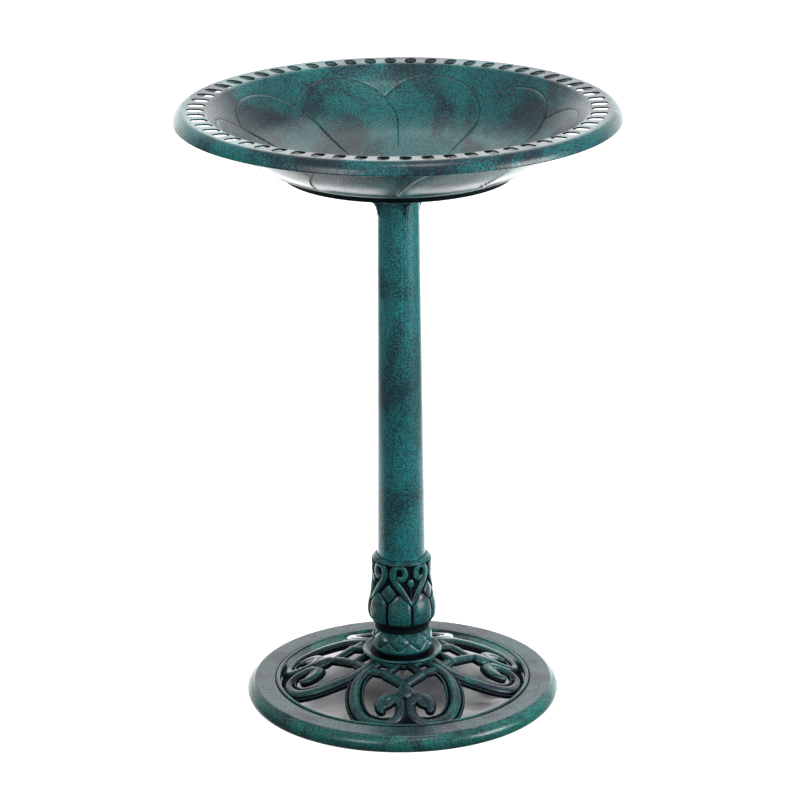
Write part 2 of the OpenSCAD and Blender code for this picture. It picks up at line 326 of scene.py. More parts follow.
def base_band():
    """The round band: an upturned channel with a rolled outer edge and a bead inside."""
    wall, roll_r, roll_z = 3, 10, 9
    roll = BAND_R - roll_r
    turns = np.radians(np.linspace(-62, 68, 16))
    outer = np.stack([roll + roll_r * np.cos(turns), roll_z + roll_r * np.sin(turns)], 1)
    turns = np.radians(np.linspace(80, -50, 9))
    hollow = roll_r - wall
    inner = np.stack([roll + hollow * np.cos(turns), roll_z + hollow * np.sin(turns)], 1)
    bead_turns = np.radians(np.linspace(0, 180, 12))
    bead = np.stack([RING_IN + BEAD_R * (1 + np.cos(bead_turns)),
                     BAND_TOP - 1.2 + BEAD_R * np.sin(bead_turns)], 1)
    outline = np.concatenate([
        [[roll + 4, 0]], outer,
        spline([outer[-1], [roll + 1.2, BAND_TOP - 0.3], [roll - 3, BAND_TOP], [152.5, BAND_TOP]], 4)[1:],
        [[151.6, BAND_TOP - 0.1], [150.8, BAND_TOP - 0.9], [150.4, BAND_TOP - 2.0]],
        bead,
        [[RING_IN, 0.4], [RING_IN + 0.4, 0], [RING_IN + wall, 0], [RING_IN + wall, BAND_TOP - 4]],
        [[roll - 8, BAND_TOP - wall]], inner, [[roll + 2, 0]],
    ])
    points, faces = revolve(outline, 360)
    radius = np.hypot(points[:, 0], points[:, 1])
    groove = 150.6
    # painted shade: a dark line along the groove beside the bead, and darkness down the channel's inner
    # wall
    painted_shade = np.exp(-((radius - groove) / 0.9) ** 2)
    painted_shade += 0.9 * smooth_step(BAND_TOP - points[:, 2], 5, 12) * (radius < RING_IN + 1)
    # painted sheen: the upper face outside the groove is greyed, as the gloss from above
    painted_sheen = 0.75 * smooth_step(points[:, 2], BAND_TOP - 2.5, BAND_TOP) * (radius > groove + 0.4)
    return make_mesh("base_band", points, faces, {"painted_shade": np.clip(painted_shade, 0, 1), "painted_sheen": painted_sheen})


def base_hub():
    """The plate under the foot, with the boss that the tie rod is bolted to."""
    outline = [[ROD_HOLE_R, HUB_LOW], [13, HUB_LOW], [15, HUB_LOW + 2], [15, HUB_TOP - 7.4],
               [17, HUB_TOP - 7], [HUB_R, HUB_TOP - 7], [HUB_R, HUB_TOP], [ROD_HOLE_R, HUB_TOP]]
    points, faces = revolve(rounded(outline, 0.8), 160)
    # painted shade: the hub plate darkens below its top, under the dish
    return make_mesh("base_hub", points, faces, {"painted_shade": 0.95 * (points[:, 2] < HUB_TOP - 1)})


def on_dome(flat):
    """Places on the scrollwork's dome above the points of flat, with its upward normals there."""
    flat = np.asarray(flat, float)
    height = np.sqrt(DOME_R ** 2 - (flat ** 2).sum(1))
    place = np.column_stack([flat, DOME_TOP - DOME_R + height])
    return place, np.column_stack([flat, height]) / DOME_R


def bar(path, half, section, start_round=False, end_round=False):
    """A closed bar along a path on the dome.

    section(half) gives the outline across the bar, as (sideways, up) from the dome, for the half
    width there. half is one number, or one per point of path, and round ends are drawn in.
    """
    widths = np.broadcast_to(half, (len(path),)).astype(float)
    flat = spline(np.column_stack([path, widths]), 10)
    flat, widths = flat[:, :2], flat[:, 2]
    gone = np.concatenate([[0], np.cumsum(np.linalg.norm(np.diff(flat, axis=0), axis=1))])
    shrink = np.ones(len(flat))
    for wanted, left in ((start_round, gone), (end_round, gone[-1] - gone)):
        if wanted:
            near = np.clip(left / widths, 0.02, 1)
            shrink *= np.sqrt(1 - (1 - near) ** 2)
    place, up = on_dome(flat)
    ahead = np.gradient(place, axis=0)
    side = np.cross(ahead, up)
    side /= np.linalg.norm(side, axis=1)[:, None]
    points = []
    for p, u, s, w, k in zip(place, up, side, widths, shrink):
        across = np.array(section(w)) * [k, 1]
        points.append(p + across[:, :1] * s + across[:, 1:] * u)
    count = len(points[0])
    faces = [list(f) for f in grid_faces(len(points), count)]
    faces.append(list(range(count))[::-1])
    faces.append([(len(points) - 1) * count + i for i in range(count)])
    return np.concatenate(points), faces


BAR_LOW = -8.0          # the underside of a bar, from its ridge
VALLEY = -4.9           # the valley between a ridge and the lip beside it
LIP_TOP = -3.3


def ridge(half, crown=0.0):
    """The rounded upper part of a bar."""
    turns = np.radians(np.linspace(0, 180, 19))
    arch = [[half * cos(t), VALLEY + (crown - VALLEY) * sin(t) ** 0.75] for t in turns]
    return [[-half * 0.96, BAR_LOW], [half * 0.96, BAR_LOW]] + arch


def lip(half, spread=4.6):
    """The flat step on which a ridge stands, with a raised edge on either side."""
    edge = half + spread
    right = [[edge - 0.7, BAR_LOW], [edge, VALLEY - 1.2], [edge - 0.1, LIP_TOP - 0.8],
             [edge - 0.8, LIP_TOP - 0.15], [edge - 1.7, LIP_TOP], [edge - 2.7, LIP_TOP - 0.4],
             [half + 0.7, VALLEY]]
    left = [[-x, z] for x, z in right[::-1]]
    return left[-1:] + right + left[:-1]


def narrow_lip(half):
    """The same step for the slimmer bars."""
    return lip(half, 2.6)


LYRE = [[29, 36], [37, 42], [44, 49], [50.5, 57], [55.5, 66], [58.5, 78], [59.8, 91], [59, 104],
        [55.5, 116.5], [49, 126.5], [39.5, 133], [28, 136.5], [18, 136.5], [10.5, 132],
        [6.2, 124.5], [5.2, 114], [5.4, 106]]
LYRE_HALF = [4.0, 4.6, 5.2, 5.8, 6.3, 6.6, 6.7, 6.7, 6.6, 6.4, 6.0, 5.2, 4.8, 4.7, 4.6, 4.6, 4.4]
HORN = [[6.5, 112], [9, 105.5], [14, 101.5], [20, 101], [25.5, 104.5], [28.6, 110.5], [29, 117],
        [27.4, 123.5]]
HORN_HALF = [4.6, 5.4, 6.2, 6.8, 7.0, 6.6, 5.2, 2.4]
HORN_LOBE = [[13, 106.5], [18, 108], [22, 111], [24.5, 116]]
HORN_LOBE_HALF = [3.8, 5.6, 5.8, 4.0]
BUD = [[0, 83.5], [0, 87.5], [0, 92], [0, 97], [0, 101.5], [0, 106]]
BUD_HALF = [4.0, 8.6, 10.4, 9.8, 6.6, 2.0]
FRAME_OUT = [[-3.4, 84.4], [0, 81], [10.4, 70.6], [20.5, 60.5], [23.8, 57.2]]
FRAME_IN = [[23.6, 61.8], [21.5, 59.5], [14, 50], [6.5, 40.5]]
HEEL = [[0, 127], [0, 134], [0, 140], [0, 146]]     # closes the corner where two stems part
HEEL_HALF = [4, 7, 10, 14]
LINK_R = 60.5           # radius of the links that join the units into a ring
LINK_TURNS = (75, 70, 64, 58, 52, 46, 42)
VOXEL = 0.6             # cell size at which a unit's bars are fused
BUD_AT, BUD_SIZE = 94.0, (11.0, 11.5)       # centre and half sizes of the bud's outline


def mirrored(shape):
    """A shape reflected across the unit's axis."""
    points, faces = shape
    return points * [-1, 1, 1], [f[::-1] for f in faces]


def scroll_unit():
    """One lyre-shaped unit of the scrollwork, its axis along +Y, fused from its bars."""
    link = [[LINK_R * cos(radians(a)), LINK_R * sin(radians(a))] for a in LINK_TURNS]
    both = dict(start_round=True, end_round=True)
    half_unit = [
        bar(LYRE, LYRE_HALF, ridge), bar(LYRE[1:13], LYRE_HALF[1:13], lip),
        bar(LYRE[12:], LYRE_HALF[12:], narrow_lip),
        bar(HORN, HORN_HALF, ridge, end_round=True),
        bar(HORN, HORN_HALF, lambda h: ridge(h + 1.4, VALLEY + 1.2), end_round=True),
        bar(HORN_LOBE, HORN_LOBE_HALF, lambda h: ridge(h, -1.0), **both),
        bar(FRAME_OUT, 4.7, ridge, **both), bar(FRAME_OUT, 4.7, narrow_lip, **both),
        bar(FRAME_IN, 4.7, ridge, start_round=True),
        bar(link, 4.3, lambda h: ridge(h, -1.3), start_round=True), bar(link, 4.5, narrow_lip),
    ]
    shapes = half_unit + [mirrored(s) for s in half_unit]
    shapes.append(bar(BUD, BUD_HALF, lambda h: ridge(h, 2.4 * min(1, h / 8)), **both))
    shapes.append(bar(HEEL, HEEL_HALF, lambda h: ridge(h, VALLEY + 0.6)))
    points, faces = joined(*shapes)
    return fused("scroll_unit", points, faces)


def fused(name, points, faces):
    """Overlapping closed shapes as one skin, with the crevices between them kept."""
    raw = bpy.data.objects.new(name + "_raw", make_mesh(name, points, faces))
    bpy.context.scene.collection.objects.link(raw)
    remesh = raw.modifiers.new("fuse", "REMESH")
    remesh.mode = "VOXEL"
    remesh.voxel_size = VOXEL * MM
    soften = raw.modifiers.new("soften", "SMOOTH")
    soften.factor = 0.5
    soften.iterations = 3
    shape = raw.evaluated_get(bpy.context.evaluated_depsgraph_get())
    mesh = bpy.data.meshes.new_from_object(shape)
    bpy.data.objects.remove(raw)
    mesh.name = name
    mesh.shade_smooth()
    return mesh


def mark_scroll(mesh):
    """Marks painted shade on the valleys and walls of a scroll unit, by how far they lie under the dome."""
    co = np.zeros(len(mesh.vertices) * 3, np.float32)
    mesh.vertices.foreach_get("co", co)
    co = co.reshape(-1, 3) / MM
    under = on_dome(co[:, :2])[0][:, 2] - co[:, 2]
    normal = np.zeros(len(co) * 3, np.float32)
    mesh.vertex_normals.foreach_get("vector", normal)
    flatness = normal.reshape(-1, 3)[:, 2]
    on_lip = smooth_step(flatness, 0.7, 0.97) * (under < 4.3)
    painted_shade = smooth_step(under, 1.3, 4.2) * (1 - 0.75 * on_lip)
    # painted shade: darker near the hub, under the foot and the dish
    painted_shade = np.maximum(painted_shade, 0.5 * (1 - smooth_step(np.hypot(co[:, 0], co[:, 1]), 48, 80)))
    bud = np.hypot(co[:, 0] / BUD_SIZE[0], (co[:, 1] - BUD_AT) / BUD_SIZE[1])
    # painted shade: a dark ring in the crease round the bud's outline
    painted_shade = np.maximum(painted_shade, 0.85 * np.exp(-((bud - 1) / 0.07) ** 2) * (co[:, 1] > 84))
    layer = mesh.attributes.new("painted_shade", "FLOAT", "POINT")
    layer.data.foreach_set("value", painted_shade.astype(np.float32))


# Foot and collar

def foot_dish():
    """The dish under the foot, with a thin raised rim."""
    outline = [[ROD_HOLE_R, HUB_TOP], [36, HUB_TOP], [DISH_R - 2.4, DISH_TOP - 3.4],
               [DISH_R - 0.2, DISH_TOP - 2.4], [DISH_R, DISH_TOP - 1.2], [DISH_R - 0.8, DISH_TOP - 0.1],
               [DISH_R - 1.7, DISH_TOP], [DISH_R - 2.8, DISH_TOP - 0.9], [37, RING_LOW + 0.5],
               [34, RING_LOW], [ROD_HOLE_R, RING_LOW]]
    points, faces = revolve(rounded(outline, 0.9), 240)
    radius = np.hypot(points[:, 0], points[:, 1])
    # painted shade: the dish darkens towards its centre, under the foot ring
    painted_shade = 0.85 * (1 - smooth_step(radius, 36, 40)) * (points[:, 2] > HUB_TOP + 1)
    return make_mesh("foot_dish", points, faces, {"painted_shade": painted_shade})


def cup(name, outline, relief, angles, rows_a_mm):
    """A turned part whose outer face carries a relief.

    outline is the closed section: first the outer face from the bottom up, then the rest.
    relief(angle, z) gives how far the face moves outwards, and how much shade is painted into its hollows
    and grooves.
    """
    outer, rest = outline
    outer = spline(outer, 6)
    length = np.concatenate([[0], np.cumsum(np.linalg.norm(np.diff(outer, axis=0), axis=1))])
    at = np.linspace(0, length[-1], int(length[-1] * rows_a_mm))
    outer = np.stack([np.interp(at, length, outer[:, i]) for i in (0, 1)], 1)
    a, z = np.meshgrid(angles, outer[:, 1])
    rise, painted_shade = relief(a.ravel(), z.ravel())
    radius = (outer[:, :1] + rise.reshape(a.shape))
    rest = np.asarray(rest, float)
    points = np.concatenate([ring_points(radius, z, angles), ring_points(rest[:, :1], rest[:, 1:], angles)])
    marks = {"painted_shade": np.concatenate([painted_shade, np.zeros(len(rest) * len(angles))])}
    faces = grid_faces(len(outer) + len(rest), len(angles), close_rows=True)
    return make_mesh(name, points, faces, marks, 50)


def ring_relief(angle, z):
    """Eight pointed leaves round the foot ring, over a second row that shows between them."""
    tall, middle = 10.4, RING_LOW + 22
    x = ((angle - LATTICE_AXIS + 22.5) % 45 - 22.5) / 22.7
    y = (z - middle) / tall
    front = 1 - np.abs(x) - np.abs(y) ** 1.35
    back = np.abs(x) + np.abs(y) ** 0.75 - 1
    inside = smooth_step(z, middle - tall - 1.5, middle - tall + 1) * (1 - smooth_step(z, 83, 85))
    leaf = -0.5 + 2.1 * smooth_step(front, 0.0, 0.55)
    behind = -1.5 + 1.3 * smooth_step(back, 0.06, 0.5)
    rise = inside * np.where(front > 0, leaf, behind)
    # painted shade: dark in the grooves round the leaves, darker in the second row, the low part and the
    # neck under the collar
    painted_shade = inside * np.where(front > 0, 0.55 * (1 - smooth_step(front, 0, 0.12)),
                               1 - 0.75 * smooth_step(back, 0.04, 0.22))
    painted_shade = np.maximum(painted_shade, 1 - smooth_step(z, RING_LOW + 4, RING_LOW + 12))
    painted_shade = np.maximum(painted_shade, smooth_step(z, 83.5, 86))
    return rise, painted_shade


def foot_ring():
    """The bulging ring, hollow inside."""
    low = RING_LOW
    outer = [[RING_R - 4.6, low], [RING_R - 1.4, low + 5], [RING_R, low + 12], [RING_R - 0.8, low + 20],
             [RING_R - 2.4, low + 29], [RING_R - 2.9, RING_TOP]]
    rest = [[RING_R - 6.9, RING_TOP], [RING_R - 6.4, low + 29], [RING_R - 4, low + 12], [RING_R - 8.6, low]]
    return cup("foot_ring", (outer, rest), ring_relief, np.arange(0, 360, 0.6), 2.2)


SCROLL_ARM = [[0, 124.5], [3.5, 127.5], [8, 131.5], [18, 140.5], [29, 149], [35.2, 156.5], [36, 162.5],
              [33, 167.3], [27, 169.6], [20, 169.8], [13.8, 167.2], [11, 162], [12.6, 157.3],
              [18, 154.8], [23.5, 156.4]]
SCROLL_ARM_HALF = [1.7, 2.2, 2.8, 3.6, 4.1, 4.3, 4.2, 3.7, 3.2, 2.9, 3.1, 3.5, 3.5, 3.2, 2.6]
COLLAR_FACE_R = 35.5    # mean radius of the collar's face, to turn angles there into millimetres


def collar_relief(angle, z):
    """Lotus petals below, and above them scroll pairs with a bud between and leaves beside them."""
    a_mm = radians(1) * COLLAR_FACE_R
    flat = -9               # below every part of the relief
    turn = (angle - LILY_AXIS + 45) % 90 - 45
    mirror = np.abs(turn)
    spots = np.stack([mirror * a_mm, z], 1)
    rise = np.full(len(z), -3.4)

    # the scroll arms
    path = spline(np.column_stack([SCROLL_ARM, SCROLL_ARM_HALF]) * [a_mm, 1, 1], 5)
    gap, along = nearest(spots, path[:, :2])
    half = np.interp(along, np.linspace(0, 1, len(path)), path[:, 2])
    arm = np.sqrt(np.clip(1 - (gap / half) ** 2, 0, 1))
    rise = np.maximum(rise, np.where(gap < half, -1.5 + 2.0 * arm ** 0.8, flat))
    # the bud, its stem and the rib between the arms
    bud = np.hypot(mirror * a_mm / 4.3, (z - 149.8) / 5.0)
    rise = np.maximum(rise, np.where(bud < 1, -1.7 + 2.1 * np.sqrt(np.clip(1 - bud ** 2, 0, 1)), flat))
    stem = np.clip(1 - (mirror * a_mm / 1.5) ** 2, 0, 1)
    rise = np.maximum(rise, np.where((z > 128) & (z < 149), -2.6 + 1.4 * np.sqrt(stem), flat))
    # the eight petals
    petal = np.abs((angle - LILY_AXIS) % 45 - 22.5) / 22.5
    top = 137.0 - 13.5 * petal ** 2.2
    inset = np.minimum((1 - petal) * 22.5 * a_mm * 1.1, (top - z) * 0.75)
    body = np.where(inset > 0, -2.2 + 2.5 * smooth_step(inset, 0, 6.5) ** 0.55, flat)
    arm_on_top = (gap < half + 0.6) & (z > 123)
    rise = np.where(arm_on_top, rise, np.maximum(rise, body))
    # the leaves on the axes between two pairs, with a groove round each
    side = (45 - mirror) * a_mm
    leaf = (side / 9.8) ** 1.15 + (np.abs(z - 136.3) / 11.0) ** 1.15
    rise = np.where(leaf < 1.22, -2.8, rise)
    rise = np.where(leaf < 1, -1.6 + 2.1 * np.sqrt(np.clip(1 - leaf, 0, 1)), rise)
    # the lip above and the smooth foot below
    lip_share = smooth_step(z, 170.4, 171.4)
    rise = rise * (1 - lip_share) + 0.5 * np.exp(-((z - 173) / 0.9) ** 2)
    foot = 1 - smooth_step(z, 93, 98)
    rise = rise * (1 - foot)
    # painted shade: the sunken parts darken, and so do the groove under the lip and the foot under the
    # petals
    painted_shade = smooth_step(-rise, 0.5, 1.9)
    painted_shade = np.maximum(painted_shade, 0.95 * np.exp(-((z - 171.6) / 0.8) ** 2))
    painted_shade = np.maximum(painted_shade, 1 - smooth_step(z, 94, 103))
    return rise, painted_shade


def lotus_collar():
    """The cup that the column stands in."""
    low, top = RING_TOP, COLLAR_TOP
    outer = [[RING_R - 2.9, low], [COLLAR_R - 6.3, low + 3], [COLLAR_R - 2.9, low + 8],
             [COLLAR_R - 0.8, low + 13], [COLLAR_R, low + 20.6], [COLLAR_R - 0.9, low + 28],
             [COLLAR_R - 3.4, low + 38], [COLLAR_R - 5.2, low + 50], [COLLAR_R - 5.9, low + 60],
             [COLLAR_R - 5.7, low + 68], [COLLAR_R - 5.9, low + 76], [COLLAR_R - 5.6, low + 80.5],
             [COLLAR_R - 6.0, top - 3.6], [COLLAR_R - 7.0, top - 2.2], [COLLAR_R - 8.6, top - 0.6],
             [COLLAR_R - 10.4, top]]
    rest = [[COLUMN_R + 0.15, top], [COLUMN_R + 0.15, COLUMN_LOW], [COLUMN_R - 4, COLUMN_LOW],
            [COLUMN_R - 4, low + 15.5], [ROD_HOLE_R, low + 5.5], [ROD_HOLE_R, low]]
    return cup("lotus_collar", (outer, rest), collar_relief, np.arange(0, 360, 0.6), 2.4)


# Column and seat

def column_tube():
    """The tapered tube, with the faint seam of its mould down the front and back."""
    angles = np.arange(0, 360, 1.5)
    z = np.linspace(COLUMN_LOW, COLUMN_TOP, 180)
    radius = np.interp(z, [COLUMN_LOW, COLUMN_TOP], [COLUMN_R, COLUMN_R_HIGH])[:, None]
    seam = np.zeros(len(angles))
    for at in (280.5, 100.5):
        seam += np.exp(-(((angles - at + 180) % 360 - 180) / 1.6) ** 2)
    outer = ring_points(radius - 0.35 * seam[None], z[:, None], angles)
    inner = ring_points(radius[::-1] - COLUMN_WALL, z[::-1, None], angles)
    points = np.concatenate([outer, inner])
    faces = grid_faces(2 * len(z), len(angles), close_rows=True)
    return make_mesh("column_tube", points, faces)


def gusset(turn):
    """A thin fin outside the column that grows out to the flange."""
    start = COLUMN_R_HIGH + 0.1
    path = spline([[start, 587], [start + 1.4, 590], [start + 2.6, 597.5], [start + 6, 604],
                   [start + 13, COLUMN_TOP + 1]], 5)
    outline = rounded(np.concatenate([path, [[start, COLUMN_TOP + 1]]]), 0.3, 3)
    layers = []
    for side, inset in ((-1.5, 0.35), (-1.15, 0), (1.15, 0), (1.5, 0.35)):
        centre = outline.mean(0)
        away = outline - centre
        shrunk = outline - away / np.linalg.norm(away, axis=1)[:, None] * inset
        layers.append(np.column_stack([shrunk[:, 0], np.full(len(outline), side), shrunk[:, 1]]))
    count = len(outline)
    faces = [list(f) for f in grid_faces(len(layers), count)]
    faces += [list(range(count))[::-1], [3 * count + i for i in range(count)]]
    c, s = cos(radians(turn)), sin(radians(turn))
    points = np.concatenate(layers) @ np.array([[c, s, 0], [-s, c, 0], [0, 0, 1]])
    return points, faces


def bowl_seat():
    """The flange with its gussets, and the plug inside the column with the spigot's socket."""
    plug_r = COLUMN_R_HIGH - COLUMN_WALL - 0.2
    top = SEAT_TOP
    socket_r = SPIGOT_R + 0.4
    outline = [[ROD_HOLE_R, PLUG_LOW], [plug_r - 1, PLUG_LOW], [plug_r, PLUG_LOW + 1],
               [plug_r, COLUMN_TOP], [COLUMN_R_HIGH + 4, COLUMN_TOP], [SEAT_R - 2, top - 4],
               [SEAT_R, top - 3], [SEAT_R, top - 1], [SEAT_R - 1, top], [socket_r, top],
               [socket_r, PLUG_LOW + 5], [ROD_HOLE_R, PLUG_LOW + 5]]
    shapes = [revolve(rounded(outline, 0.7), 200)]
    shapes += [gusset(22 + 90 * k) for k in range(4)]
    points, faces = joined(*shapes)
    return make_mesh("bowl_seat", points, faces)


# Bowl

SECTOR = 360 / SLOTS
SECTOR_STEPS = 12
BOWL_ANGLES = SLOT_START - SECTOR / 2 + np.arange(SLOTS * SECTOR_STEPS) * SECTOR / SECTOR_STEPS
BAND_LOW_R, BAND_HIGH_R = 214.0, 243.0      # the part of the rim that holds the slots

# Sections of the bowl, as (inwards from the bowl's radius, height above the rim's crest)
TOP_FACE = [[209, -96], [164, -80.5], [134, -70], [109, -60.5], [84, -46.5], [64, -28], [54, -17.5],
            [46.6, -10.4], [42, -6.3], [38.5, -3.2], [35.5, -1.7], [31, -1.2], [26, -1], [20, -0.7],
            [15, -0.4], [12, 0], [8, -1.1], [4, -4.2], [1.4, -8.5], [0, -13.5]]
EDGE = [[0.2, -14.4], [0.9, -15.0], [2.0, -15.0], [2.8, -14.3]]
LOW_FACE = [[3.2, -12.5], [4.2, -8.7], [6.2, -5.1], [8.8, -3], [12, -2.1], [20, -2.4], [26, -2.7],
            [31.5, -3], [34.5, -3.6], [37.5, -5.6], [42, -9.8], [44.4, -12.6], [52, -20.6],
            [61.8, -32.2], [81.7, -51.2], [104, -65.2]]


def section(points, steps=8):
    """Those offsets as a smooth curve of (radius, z)."""
    p = spline(points, steps)
    return np.column_stack([BOWL_R - p[:, 0], RIM_TOP + p[:, 1]])


top_curve = section(TOP_FACE)
low_curve = section([EDGE[-1]] + LOW_FACE)[::-1]
CREST = top_curve[:, 1].argmax()


def top_z(radius):
    """Height of the upper face, from the centre to the outer edge of the slots' band."""
    return np.interp(radius, top_curve[:, 0], top_curve[:, 1])


def low_z(radius):
    """Height of the lower face."""
    return np.interp(radius, low_curve[:, 0], low_curve[:, 1])


def petals(angle, radius):
    """How far the bowl's wall rises inwards at a point for its petals, and how near an edge it is.

    Each petal lies over the next one clockwise. The wall is even, so both of its faces show it.
    """
    pitch, half, shoulder = 360 / PETALS, 22.8, 148.6
    here = (angle - PETAL_FIRST + pitch / 2) % pitch - pitch / 2
    reach = np.clip((radius - shoulder) / (PETAL_TIP_R - shoulder), 0, None)

    def edge_gap(off):
        """Distance outwards from the edge of the petal whose tip is off degrees away."""
        size = np.hypot(off / half, reach)
        slope = np.hypot(off / half ** 2 / (radius * pi / 180), reach / (PETAL_TIP_R - shoulder))
        return (size - 1) * size / np.maximum(slope, 1e-6)

    rise = np.zeros(len(angle))
    line = np.full(len(angle), 99.0)
    for k in (1, 0, -1):
        gap = edge_gap(here + k * pitch)
        over = edge_gap(here + (k - 1) * pitch)
        line = np.minimum(line, np.where(over > 0, np.abs(gap), 99))
        lean = np.clip(0.5 - (here + k * pitch) / half / 2, 0, 1)
        height = (0.2 + 0.9 * lean) * smooth_step(-gap, -0.5, 0.7)
        height += 1.1 * smooth_step(-gap, 0, 24)
        rise = np.where((gap < 0.7) & (over > 0.4), np.maximum(height, rise), rise)
    rise = (rise - 0.6 * np.exp(-(line / 0.9) ** 2)) * smooth_step(radius, 75, 130)
    return rise, np.clip(1 - line / 4, 0, 1) * smooth_step(radius, 95, 155)


def bowl_inside():
    """The upper face from the centre to the slots' band."""
    radii = np.concatenate([[0.5, 12, 24, 36, 45], np.linspace(52, 100, 18)[:-1],
                            np.linspace(100, BAND_LOW_R, 92)])
    a, r = np.meshgrid(BOWL_ANGLES, radii)
    rise, line = petals(a.ravel(), r.ravel())
    rise *= 1 - smooth_step(r.ravel(), BAND_LOW_R - 3, BAND_LOW_R)
    slope = np.gradient(top_z(radii), radii)
    tilt = np.arctan(slope)[:, None]
    rise = rise.reshape(a.shape)
    points = ring_points(r - rise * np.sin(tilt), top_z(radii)[:, None] + rise * np.cos(tilt), BOWL_ANGLES)
    faces = [list(f) for f in grid_faces(len(radii), len(BOWL_ANGLES))]
    faces.append(list(range(len(BOWL_ANGLES)))[::-1])
    return points, faces, line


def slot_reach(direction):
    """Distance from a slot's centre to its edge in each direction, in radians from the radius."""
    half, straight = SLOT_W / 2, (SLOT_LEN - SLOT_W) / 2
    along, across = np.abs(np.cos(direction)), np.maximum(np.abs(np.sin(direction)), 1e-6)
    to_end = straight * along + np.sqrt(np.clip(half ** 2 - (straight * across) ** 2, 0, None))
    return np.where(along / across * half < straight, half / across, to_end)


def slot_sector(index):
    """One sector of the slots' band: both faces around the slot, and the slot's own wall."""
    middle = SLOT_START + SECTOR * index
    low, high = middle - SECTOR / 2, middle + SECTOR / 2
    along = np.linspace(low, high, SECTOR_STEPS + 1)
    out = np.linspace(BAND_LOW_R, BAND_HIGH_R, 15)
    border = [(BAND_LOW_R, a) for a in along[:-1]] + [(r, high) for r in out[:-1]]
    border += [(BAND_HIGH_R, a) for a in along[:0:-1]] + [(r, low) for r in out[:0:-1]]
    border = np.array(border)
    turn = np.radians(border[:, 1] - middle)
    flat = np.stack([border[:, 0] * np.cos(turn) - SLOT_R, border[:, 0] * np.sin(turn)], 1)
    away = np.linalg.norm(flat, axis=1)
    ahead = flat / away[:, None]
    edge = slot_reach(np.arctan2(flat[:, 1], flat[:, 0]))
    soft = 0.7
    rings, heights = [], []
    for share in (1, 0.72, 0.46, 0.22):
        rings.append(edge + soft + (away - edge - soft) * share)
        heights.append(0)
    for turned in np.radians([0, 25, 50, 75, 90]):
        rings.append(edge + soft * (1 - np.sin(turned)))
        heights.append(soft * (1 - np.cos(turned)))
    points = []
    for face, sign in ((top_z, -1), (low_z, 1)):
        ordered = list(zip(rings, heights))
        for reach, drop in ordered if sign < 0 else ordered[::-1]:
            spot = ahead * reach[:, None]
            radius = np.hypot(SLOT_R + spot[:, 0], spot[:, 1])
            angle = np.radians(middle) + np.arctan2(spot[:, 1], SLOT_R + spot[:, 0])
            z = face(radius) + sign * drop * (1 if sign < 0 else 0.4)
            points.append(np.column_stack([radius * np.cos(angle), radius * np.sin(angle), z]))
    # painted shade: the slot's wall darkens inside the slot
    dark = np.concatenate([smooth_step(np.arange(9), 6, 8), np.ones(4), np.zeros(5)])
    faces = grid_faces(len(points), len(border))
    return np.concatenate(points), faces[:, ::-1], np.repeat(dark, len(border))


def bowl_rim():
    """From the slots' band over the lip and back under it."""
    start = np.searchsorted(top_curve[CREST:, 0], BAND_HIGH_R) + CREST
    over = np.concatenate([[[BAND_HIGH_R, top_z(BAND_HIGH_R)]], top_curve[start:]])
    edge = np.column_stack([BOWL_R - np.array(EDGE)[:, 0], RIM_TOP + np.array(EDGE)[:, 1]])
    under = low_curve[::-1]
    under = np.concatenate([under[under[:, 0] > BAND_HIGH_R], [[BAND_HIGH_R, low_z(BAND_HIGH_R)]]])
    outline = np.concatenate([over, edge[:-1], under])
    points = ring_points(outline[:, :1], outline[:, 1:], BOWL_ANGLES)
    return points, grid_faces(len(outline), len(BOWL_ANGLES))


def bowl_outside():
    """The lower face from the slots' band down to the foot, and the spigot."""
    wall_r = np.linspace(BAND_LOW_R, BOWL_R - 104, 84)
    wall = np.column_stack([wall_r, low_z(wall_r)])
    z = UNDERSIDE
    foot = rounded([[BOWL_R - 106, z + 32.6], [134, z + 27.5], [132.4, z + 22.3], [131.4, z + 21.5],
                    [129, z + 21.5], [127.6, z + 22.3], [126.5, z + 27.5], [90, z + 15], [46, z],
                    [SPIGOT_R + 0.2, z], [SPIGOT_R, z - 0.6], [SPIGOT_R, SPIGOT_LOW + 0.8],
                    [SPIGOT_R - 0.8, SPIGOT_LOW], [13.4, SPIGOT_LOW], [13, SPIGOT_LOW + 0.6],
                    [13, z - 1], [0.5, z - 1]], 0.6, 3)[1:-1]
    outline = np.concatenate([wall, foot])
    a, r = np.meshgrid(BOWL_ANGLES, outline[:, 0])
    rise, line = petals(a.ravel(), r.ravel())
    on_wall = (np.arange(len(outline)) < len(wall))[:, None] * np.ones(a.shape)
    fade = (on_wall * (1 - smooth_step(r, BAND_LOW_R - 3, BAND_LOW_R))).ravel()
    rise = (rise * fade * 0.9).reshape(a.shape)
    points = ring_points(r - rise * 0.7, outline[:, 1:] + rise * 0.7, BOWL_ANGLES)
    faces = [list(f) for f in grid_faces(len(outline), len(BOWL_ANGLES))]
    faces.append([(len(outline) - 1) * len(BOWL_ANGLES) + i for i in range(len(BOWL_ANGLES))])
    # painted shade: the underside darkens round the foot ring
    from_foot = np.hypot(r - FOOT_R, (outline[:, 1:] - z - 21.5) * 1.5)
    dark = 1 - smooth_step(from_foot, 8, 12).ravel()
    return points, faces, line * fade, dark


def key(turn):
    """A key on the spigot, which stops the bowl turning."""
    half, reach = 2.5, 18.0
    low, high = SPIGOT_LOW, UNDERSIDE + 1
    corners = [[x, y, z] for z in (low, high) for x, y in
               ((14, -half), (reach, -half), (reach, half), (14, half))]
    c, s = cos(radians(turn)), sin(radians(turn))
    points = np.array(corners) @ np.array([[c, s, 0], [-s, c, 0], [0, 0, 1]])
    return points, [[3, 2, 1, 0], [4, 5, 6, 7], [0, 1, 5, 4], [1, 2, 6, 5], [2, 3, 7, 6], [3, 0, 4, 7]]


